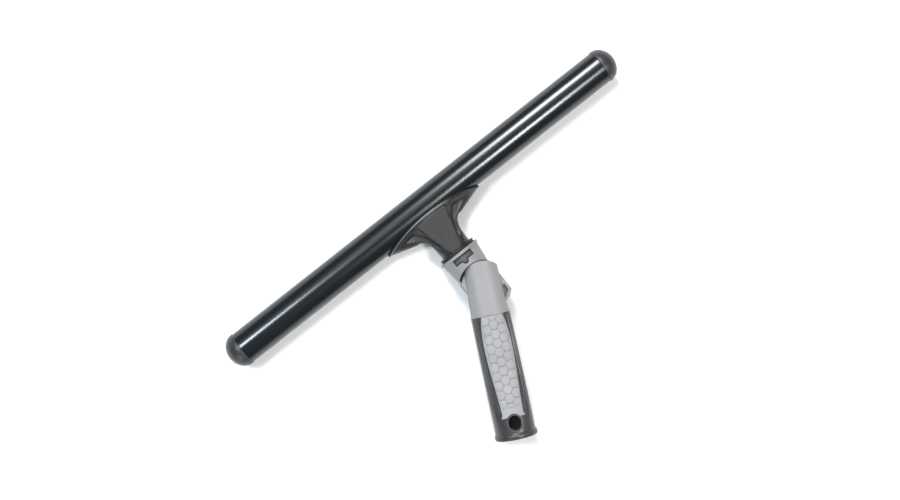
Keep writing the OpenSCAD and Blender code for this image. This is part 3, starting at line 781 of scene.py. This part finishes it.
def make_latch():
    """A button that fills the window: a grid over its outline, ribbed at both ends.

    Its face follows the collar's round, a millimetre down. Slanting ribs cross both ends,
    and a smooth bar with a thumb pip crosses the middle and fills the round bay.
    """
    gap, rib_pitch, rib_h, pip_h, foot_h = 0.35 * MM, 1.3 * MM, 0.45 * MM, 0.5 * MM, 1.3 * MM
    half, up, r = WINDOW_HALF - gap, WINDOW_H / 2 - gap, BAY_R - gap
    columns = np.sort(np.concatenate([np.linspace(-half, half, 161), [-r, r]]))
    x = columns[:, None]
    lower = np.where(np.abs(x) < r, up + np.sqrt(np.maximum(r * r - x * x, 0)), up)
    share = np.linspace(0, 1, 61)[None, :]
    y = -up + (lower + up) * share
    face = np.sqrt((COLLAR_R - 0.5 * MM) ** 2 - x * x) - 0.02 * np.abs(y)
    middle = smoothstep(2.5 * MM, 2.1 * MM, np.abs(x - 0.2 * MM))
    ribs = rib_h * smoothstep(-0.5, 0.5, np.sin(TURN * (x + 0.5 * y) / rib_pitch))
    pip = pip_h * smoothstep(1.9 * MM, 0.9 * MM, np.hypot(x - 0.3 * MM, y - 1.4 * MM))
    rim = smoothstep(0, 0.45 * MM, np.minimum(np.minimum(half - np.abs(x), y + up), lower - y))
    relief = ribs * (1 - middle) + (0.5 * MM + pip) * middle
    z = face - 1.15 * MM + relief * rim - 0.5 * MM * (1 - rim)
    foot_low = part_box("neck_latch")[0].z
    top = facing_bar(x + 0 * y, y + WINDOW_T, z)
    bottom = facing_bar(x + 0 * y, y + WINDOW_T, foot_low + foot_h + 0 * z)
    button = slab("neck_latch_button", top, bottom)
    foot_w, foot_from, foot_to = 17.6 * MM, WINDOW_T - 3.25 * MM, WINDOW_T + 5.0 * MM
    foot = block("foot", (-foot_w / 2, foot_from, foot_low),
                 (foot_w, foot_to - foot_from, foot_h + 0.1 * MM), facing_bar)
    carve(button, foot, how="UNION")
    return dress(shade(button, 40), "latch_plastic", "latch", "neck_latch")


def make_latch_spring():
    """A coil spring: a circle of wire carried round a helix, with closer turns at its ends."""
    low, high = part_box("latch_spring")
    wire, turns = 0.35 * MM, 6
    coil_r = (high.x - low.x) / 2 - wire
    middle = ((low.x + high.x) / 2, (low.y + high.y) / 2)
    s = np.linspace(0, 1, 361)
    rise = 0.25 * smoothstep(0, 1, s) + 0.75 * s
    z = low.z + wire + (high.z - low.z - 2 * wire) * rise
    turn = TURN * turns * s[:, None]
    a = np.arange(12) * TURN / 12
    out = coil_r + wire * np.cos(a)
    rings = np.stack([middle[0] + out * np.cos(turn), middle[1] + out * np.sin(turn),
                      z[:, None] + wire * np.sin(a)], -1)
    spring = dress(shade(skin("latch_spring_coil", rings), 60), "steel", "bar_head", "latch_spring")
    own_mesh(spring)


# ---------------------------------------------------------------- the swivel head

SQUARE = 2.5
SLOT_HALF = 6.5 * MM
HEAD_TOP_HALF = 12.95 * MM
HEAD_DEPTH_TAPER = 0.5 * MM
STEM_R = 10.9 * MM
STEM_L = 18 * MM
PIN_CAP_R = 6.5 * MM


def rounded(a, half_x, half_z, square):
    """A superellipse: x and z at an angle, with half sizes and how square it is."""
    c, s = np.cos(a), np.sin(a)
    return (half_x * np.sign(c) * np.abs(c) ** (2 / square),
            half_z * np.sign(s) * np.abs(s) ** (2 / square))


def section_angles(count):
    """Angles that space points evenly round the grip's section."""
    fine = np.arange(4000) * TURN / 4000
    x, z = rounded(fine, 1, 1, SQUARE)
    step = np.hypot(np.diff(x, append=x[:1]), np.diff(z, append=z[:1]))
    along = np.concatenate([[0], np.cumsum(step)])
    return np.interp(np.arange(count) * along[-1] / count, along, np.append(fine, TURN))


def make_swivel_head():
    """A fork lofted up the handle: a squarish round that ends in an arc about the pivot."""
    a = section_angles(256)
    low = HEAD_LOW - PIVOT[1]
    rings = [about_handle(STEM_R * np.cos(a), STEM_R * np.sin(a), HEAD_LOW - STEM_L + 0 * a),
             about_handle(STEM_R * np.cos(a), STEM_R * np.sin(a), HEAD_LOW + 0 * a)]
    for grow, lift in ((-0.35 * MM, 0), (-0.1 * MM, 0.1 * MM)):
        x, z = rounded(a, HEAD_HALF + grow, HEAD_HALF + grow, SQUARE)
        rings.append(about_handle(x, z, HEAD_LOW + lift + 0 * a))
    for s in np.linspace(0.012, 1, 40):
        half = HEAD_HALF + (HEAD_TOP_HALF - HEAD_HALF) * s
        x, z = rounded(a, half, HEAD_HALF - HEAD_DEPTH_TAPER * s, SQUARE)
        top = np.sqrt(HEAD_R ** 2 - np.minimum(np.abs(x), HEAD_TOP_HALF) ** 2)
        rings.append(about_handle(x, z, PIVOT[1] + low + (top - low) * s))
    x, z = rounded(a, HEAD_TOP_HALF, HEAD_HALF - HEAD_DEPTH_TAPER, SQUARE)
    for share in (0.985, 0.8, 0.5, 0.2, 0.03):
        top = np.sqrt(HEAD_R ** 2 - (x * share) ** 2)
        rings.append(about_handle(x * share, z * share, PIVOT[1] + top))
    head = skin("swivel_head_moulding", np.stack(rings))
    slot_low, behind = TONGUE_R + 0.6 * MM, -25 * MM
    cap_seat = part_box("pivot_pin")[0].z + 1.7 * MM
    tools = [block("slot", (-20 * MM, -slot_low, -SLOT_HALF),
                   (40 * MM, slot_low + 30 * MM, 2 * SLOT_HALF), about_pivot),
             rod("pin", 4.02 * MM, behind, -cap_seat, about_pivot),
             rod("cap", PIN_CAP_R + 0.05 * MM, behind, cap_seat, about_pivot, 96)]
    tools += [rod("screw", 1.65 * MM, behind, -4 * MM, shifted(facing_handle, 0, y), 32)
              for y in stem_screw_ys()]
    carve(head, *tools)
    soften(head, 0.3 * MM, 3, 40)
    return dress(shade(head, 38), "head_plastic", "handle", "swivel_head")


def stem_screw_ys():
    """The two screws' places along the handle, from the box of their CAD node."""
    low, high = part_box("stem_screws")
    return low.y + 3 * MM, high.y - 3 * MM


def make_pin_cap():
    """A flat cap with a soft edge and a shallow dimple, over the pin's head at the back."""
    low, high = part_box("pin_cap")
    edge = 0.4 * MM
    profile = np.concatenate([
        [(0.3 * MM, low.z + 0.35 * MM), (2.2 * MM, low.z + 0.3 * MM), (3.2 * MM, low.z)],
        arc(PIN_CAP_R - edge, low.z + edge, edge, -90, 0, 4),
        [(PIN_CAP_R, high.z), (0.3 * MM, high.z)]])
    return dress(shade(skin("pin_cap_disc", revolve(profile, 96, about_pivot)), 40),
                 "head_plastic", "handle", "pin_cap")


# ---------------------------------------------------------------- the grip

GRIP_R = 14.8 * MM
PAD_DEPTH = 1.7 * MM
PAD_PROUD = PAD_TOP_Z - GRIP_R
PAD_HALF = 7.9 * MM
PAD_SWELL = 2.5 * MM
PAD_HORN = 1.1 * MM
LOCK_W = 9 * MM
LOCK_L = 11 * MM
LOCK_Y = 12.2 * MM
CELL = 6.8 * MM
RIDGE_ANGLE = 36
GROOVE_ANGLE = 25
SIDE_HOLLOW = 1.1 * MM
SIDE_GROOVE = 0.40 * MM


def pad_half(y):
    """Half width of a pad at a place along the handle: widest a third of the way down."""
    s = np.clip((HEAD_LOW - y) / (HEAD_LOW - PAD_LOW), 0, 1)
    swell = PAD_SWELL * np.maximum(np.sin(math.pi * s ** 0.6), 0) ** 1.5
    return PAD_HALF + swell + PAD_HORN * smoothstep(3.2 * MM, 0, y - PAD_LOW)


def grip_half(y):
    """Half width of the grip, which is a little slimmer where it meets the head."""
    return GRIP_R - 0.3 * MM * smoothstep(40 * MM, HEAD_LOW, y)


def grip_depth(x, half):
    """Height of the grip's section over a place across it."""
    return half * (1 - np.minimum(np.abs(x) / half, 1) ** SQUARE) ** (1 / SQUARE)


def make_handle_core():
    """The grip's body: rings of a squarish round, scalloped beside the pads, with its socket.

    Between the pad and a ridge on each shoulder the section is drawn in by a shallow
    hollow, and below the ridge runs a fine groove. Both fade out above the end flange.
    """
    a = section_angles(384)
    steep = np.degrees(np.arctan2(np.abs(np.sin(a)), np.abs(np.cos(a))))

    def circle(r, y):
        return about_handle(r * np.cos(a), r * np.sin(a), y + 0 * a)

    rings = [circle(0.5 * MM, SOCKET_L), circle(SOCKET_R - 0.6 * MM, SOCKET_L)]
    rings += [circle(SOCKET_R, y) for y in spread((SOCKET_L - 0.6 * MM, 0.8 * MM, 24))]
    rings += [circle(r, y) for r, y in (
        (SOCKET_R + 0.5 * MM, 0.15 * MM), (SOCKET_R + 0.9 * MM, 0), (END_R - 1.3 * MM, 0),
        (END_R - 0.7 * MM, 0.12 * MM), (END_R - 0.25 * MM, 0.5 * MM), (END_R, 1.1 * MM),
        (END_R, 2.9 * MM), (END_R - 0.15 * MM, 3.5 * MM), (END_R - 0.5 * MM, 4.1 * MM),
        (END_R - 0.9 * MM, 4.5 * MM))]
    for y in spread((5.0 * MM, 9 * MM, 12), (9 * MM, HEAD_LOW - 0.2 * MM, 110)):
        half = grip_half(y)
        square = 2.2 + (SQUARE - 2.2) * float(smoothstep(5 * MM, 16 * MM, y))
        x, z = rounded(a, half, half, square)
        edge = pad_half(max(y, PAD_LOW))
        pad_angle = np.degrees(np.arctan2(grip_depth(edge, half), edge))
        fade = float(smoothstep(15 * MM, 27 * MM, y))
        s = np.clip((steep - RIDGE_ANGLE) / max(pad_angle - RIDGE_ANGLE, 1), 0, 1)
        hollow = SIDE_HOLLOW * np.sin(math.pi * s) ** 1.4 * fade
        groove = SIDE_GROOVE * np.exp(-((steep - GROOVE_ANGLE) / 2.2) ** 2) * fade
        shrink = 1 - (hollow + groove) / np.hypot(x, z)
        rings.append(about_handle(x * shrink, z * shrink, y + 0 * a))
    top = grip_half(HEAD_LOW) - 0.25 * MM
    rings.append(about_handle(*rounded(a, top, top, SQUARE), HEAD_LOW + 0 * a))
    stem_low = HEAD_LOW - STEM_L
    rings += [circle(SOCKET_R, HEAD_LOW), circle(SOCKET_R, stem_low), circle(0.5 * MM, stem_low)]
    core = skin("handle_core_moulding", np.stack(rings))
    tools = [pad_solid("front_seat", 1, HEAD_LOW + 1 * MM, plain=True),
             pad_solid("back_seat", -1, BACK_PAD_TOP, plain=True),
             lock_tool("lock", 0, 5 * MM, 20 * MM),
             lock_tool("flat", 1.1 * MM, GRIP_R - 0.75 * MM, 20 * MM)]
    for y in stem_screw_ys():
        place = shifted(facing_handle, 0, y)
        tools += [rod("seat", SCREW_SEAT_R, -20 * MM, -12.8 * MM, place, 48),
                  rod("shank", 1.7 * MM, -20 * MM, -8 * MM, place, 32)]
    carve(core, *tools)
    return dress(shade(core, 34), "grip_plastic", "handle", "handle_core")


def lock_tool(name, grow, low, high):
    """A straight cutter with the lock hole's outline: a slot with round ends, along the handle."""
    straight = (LOCK_L - LOCK_W) / 2
    a = np.arange(64) * TURN / 64
    r = LOCK_W / 2 + grow
    u, v = r * np.cos(a), r * np.sin(a) + np.where(np.sin(a) > 0, straight, -straight) + LOCK_Y
    return skin(name, np.stack([facing_handle(u, v, h + 0 * u) for h in (low, high)]))


def cells(x, y):
    """The honeycomb at points on a pad: (in from the cell's edge, up from its centre).

    Cells stand in upright columns, every second one half a cell lower. A cell's edge is
    where the sixth-power mean of its three widths reaches half a cell, so that its
    corners are round.
    """
    column = CELL * math.sqrt(3) / 2
    inset, up = np.full(np.broadcast(x, y).shape, -1.0), np.zeros(np.broadcast(x, y).shape)
    for odd in (0, 1):
        dx = x - (np.round(x / (2 * column) - odd / 2) + odd / 2) * 2 * column
        dy = y - (np.round(y / CELL - odd / 2) + odd / 2) * CELL
        side = math.sqrt(3) / 2 * dx
        mean = (np.abs(dy) ** 6 + np.abs(side + dy / 2) ** 6 + np.abs(side - dy / 2) ** 6) ** (1 / 6)
        inside = CELL / 2 - mean
        up = np.where(inside > inset, dy, up)
        inset = np.maximum(inset, inside)
    return inset, up


def pad_relief(x, y, top_y):
    """The pad's face at points on it: (groove 0..1, how proud the cells are 0..1, cross line 0..1).

    A groove is widest and deepest under a cell, where the cell stands proud like a scale.
    """
    in_x = pad_half(np.minimum(y, HEAD_LOW)) - np.abs(x)
    in_y = y - PAD_LOW
    border = smoothstep(0.5 * MM, 1.3 * MM, in_x) * smoothstep(8.0 * MM, 8.6 * MM, in_y)
    border = border * smoothstep(0.4 * MM, 1.2 * MM, top_y - y)
    inset, up = cells(x, in_y)
    under = smoothstep(0.12, -0.25, up / CELL)
    groove = smoothstep((0.28 + 0.22 * under) * MM, 0.0, inset) * (0.45 + 0.55 * under) * border
    scale = (1 - (up / CELL + 0.15) ** 2 * 3) * smoothstep(0.0, 1.2 * MM, inset) * border
    line = np.exp(-((in_y - 7.2 * MM) / (0.3 * MM)) ** 2) * smoothstep(0.6 * MM, 1.6 * MM, in_x)
    return groove, scale, line


def pad_solid(name, side, top_y, plain=False):
    """A pad: a grid across its outline, between its face and its seat in the grip.

    The face follows the grip's section, crowned a little and rolled over at its rim. A
    honeycomb is pressed into it, which fades out over a smooth border. The plain form is
    the cutter for its seat.
    """
    across, along = (31, 70) if plain else (121, 381)
    u = np.linspace(-1, 1, across)
    if not plain:
        u = u * (1.25 - 0.25 * u * u)
    y = np.linspace(PAD_LOW, top_y, along)
    u, y = np.meshgrid(u, y, indexing="ij")
    margin = 0.0 if plain else 0.06 * MM
    half = pad_half(np.minimum(y, HEAD_LOW)) - margin
    x = u * half
    depth = grip_depth(x, grip_half(y))
    away = np.hypot(x, depth)
    bottom = (away - PAD_DEPTH) / away
    if plain:
        face = (away + 3 * MM) / away
    else:
        rim = np.minimum(half - np.abs(x), np.minimum(y - PAD_LOW, top_y - y))
        roll = 1 - np.sqrt(np.clip(1 - (1 - np.clip(rim / (0.7 * MM), 0, 1)) ** 2, 0, 1))
        comb, scale, line = pad_relief(x, y, top_y)
        height = (PAD_PROUD - 0.1 * MM - roll * 0.6 * MM + scale * 0.25 * MM
                  - comb * 0.25 * MM - line * 0.2 * MM)
        face = (away + height) / away
    z = side * depth
    pad = slab(name, np.stack([x * face, y, z * face], -1), np.stack([x * bottom, y, z * bottom], -1))
    if side > 0:
        carve(pad, lock_tool("clear", 1.4 * MM if plain else 1.5 * MM, 0, 25 * MM))
    if not plain:
        x, y, z = points_of(pad).T
        depth = grip_depth(x, GRIP_R)
        comb, _, line = pad_relief(x * np.hypot(x, depth) / np.hypot(x, z), y, top_y)
        # Painted shade: the grooves, deepest under each cell, and the cross line darken the pad's colour.
        mark(pad, "groove", np.clip(comb + 0.6 * line, 0, 1))
    return pad


def make_grip_pads():
    """The long pad on the front and the shorter one on the back."""
    front = pad_solid("grip_pad_front_soft", 1, HEAD_LOW - 0.05 * MM)
    back = pad_solid("grip_pad_back_soft", -1, BACK_PAD_TOP - 0.05 * MM)
    dress(shade(front, 50), "pad_rubber", "handle", "grip_pad_front")
    dress(shade(back, 50), "pad_rubber", "handle", "grip_pad_back")


# ---------------------------------------------------------------- the small parts kept from CAD

def dress_cad_nodes():
    """Gives the fasteners, bush, washers and springs inside their metal and plastic."""
    finishes = {"nut_plate": "steel", "saddle_screws": "steel", "pivot_bush": "bronze",
                "pivot_pin": "steel", "thrust_washer_front": "washer_plastic",
                "thrust_washer_back": "washer_plastic", "disc_spring": "steel", "stem_screws": "steel"}
    for node, finish in finishes.items():
        slots = frame["nodes"][node].data.materials
        slots.clear()
        slots.append(FINISH[finish])


# ---------------------------------------------------------------- stage, light and camera

def make_floor():
    """A pale plain sheet under the bar, just below its lowest point."""
    z = cad_low.z - 0.2 * MM
    reach = 6.0
    floor = bpy.data.objects.new("floor", bpy.data.meshes.new("floor"))
    floor.data.from_pydata([(-reach, -reach, z), (reach, -reach, z), (reach, reach, z), (-reach, reach, z)],
                           [], [(0, 1, 2, 3)])
    bpy.context.scene.collection.objects.link(floor)
    made, out, _ = shader("floor_sheet")
    feed(out, {"Base Color": (0.81, 0.81, 0.812, 1), "Roughness": 0.85})
    floor.data.materials.append(made)


def softbox(name, at, aim, size, watts, colour=(1, 1, 1)):
    """A rectangular lamp at a place, turned to face another."""
    light = bpy.data.lights.new(name, "AREA")
    light.shape = "RECTANGLE"
    light.size, light.size_y = size
    light.energy = watts
    light.color = colour
    lamp = bpy.data.objects.new(name, light)
    lamp.location = at
    lamp.rotation_mode = "QUATERNION"
    lamp.rotation_quaternion = (Vector(at) - Vector(aim)).to_track_quat("Z", "Y")
    bpy.context.scene.collection.objects.link(lamp)
    return lamp


def strip_light(name, tilt, distance, along, length, width, watts, colour=(1, 1, 1)):
    """A softbox that lies along the bar: tilt is its angle from overhead, towards the handle."""
    t, up = distance * math.sin(math.radians(tilt)), distance * math.cos(math.radians(tilt))
    aim, at = on_bar((along, 0, 0)), on_bar((along, t, up))
    lamp = softbox(name, at, aim, (length, width), watts, colour)
    x, z = Vector(BAR_X), Vector(at - aim).normalized()
    lamp.rotation_quaternion = Matrix((x, z.cross(x), z)).transposed().to_quaternion()
    return lamp


def make_lights():
    """Soft studio light: a pale room, a broad dim panel, and three bright boxes that the bar shows.

    The boxes are placed by their tilt from overhead and by where they stand along the
    bar, as a gloss tube shows each one as a line on its flank.
    """
    world = bpy.data.worlds.new("studio")
    world.use_nodes = True
    feed(world.node_tree.nodes["Background"], {"Color": (0.93, 0.965, 1.0, 1), "Strength": 0.26})
    bpy.context.scene.world = world
    strip_light("panel", -25, 1.3, 0.10, 1.3, 0.85, 3.2, (0.78, 0.92, 1.0))
    strip_light("left_box", -19, 1.2, -0.37, 0.26, 0.19, 9.0, (0.86, 0.95, 1.0))
    strip_light("key_box", -38, 1.2, 0.31, 0.30, 0.40, 14)
    strip_light("right_box", 24, 1.2, 0.245, 0.19, 0.28, 8.6, (1.0, 0.98, 0.95))
    for name, along, watts in (("low_left_box", -1.3, 9), ("low_right_box", 1.3, 1.8)):
        softbox(name, on_bar((along, 0.9, 0.8)), BAR_MID, (0.8, 0.8), watts)


def make_camera():
    """Nearly straight above, turned so that the handle leans."""
    data = bpy.data.cameras.new("camera")
    data.sensor_width = 36
    data.lens = 55.7
    data.clip_end = 50
    camera = bpy.data.objects.new("camera", data)
    at = Vector((-0.0610, 0.1484, 1.0151))
    aim = Vector((-0.0187, 0.1439, 0))
    back = (at - aim).normalized()
    lean = math.radians(12.26)
    up = Vector((math.sin(lean), math.cos(lean), 0))
    right = up.cross(back).normalized()
    turned = Matrix((right, back.cross(right), back)).transposed().to_4x4()
    camera.matrix_world = Matrix.Translation(at) @ turned
    bpy.context.scene.collection.objects.link(camera)
    bpy.context.scene.camera = camera
    bpy.context.scene.view_settings.view_transform = "Standard"


make_bar_tube()
make_end_cap(-1)
make_end_cap(1)
make_saddle()
make_neck_ring()
make_collar()
make_latch()
make_latch_spring()
make_swivel_head()
make_pin_cap()
make_handle_core()
make_grip_pads()
dress_cad_nodes()
make_floor()
make_lights()
make_camera()
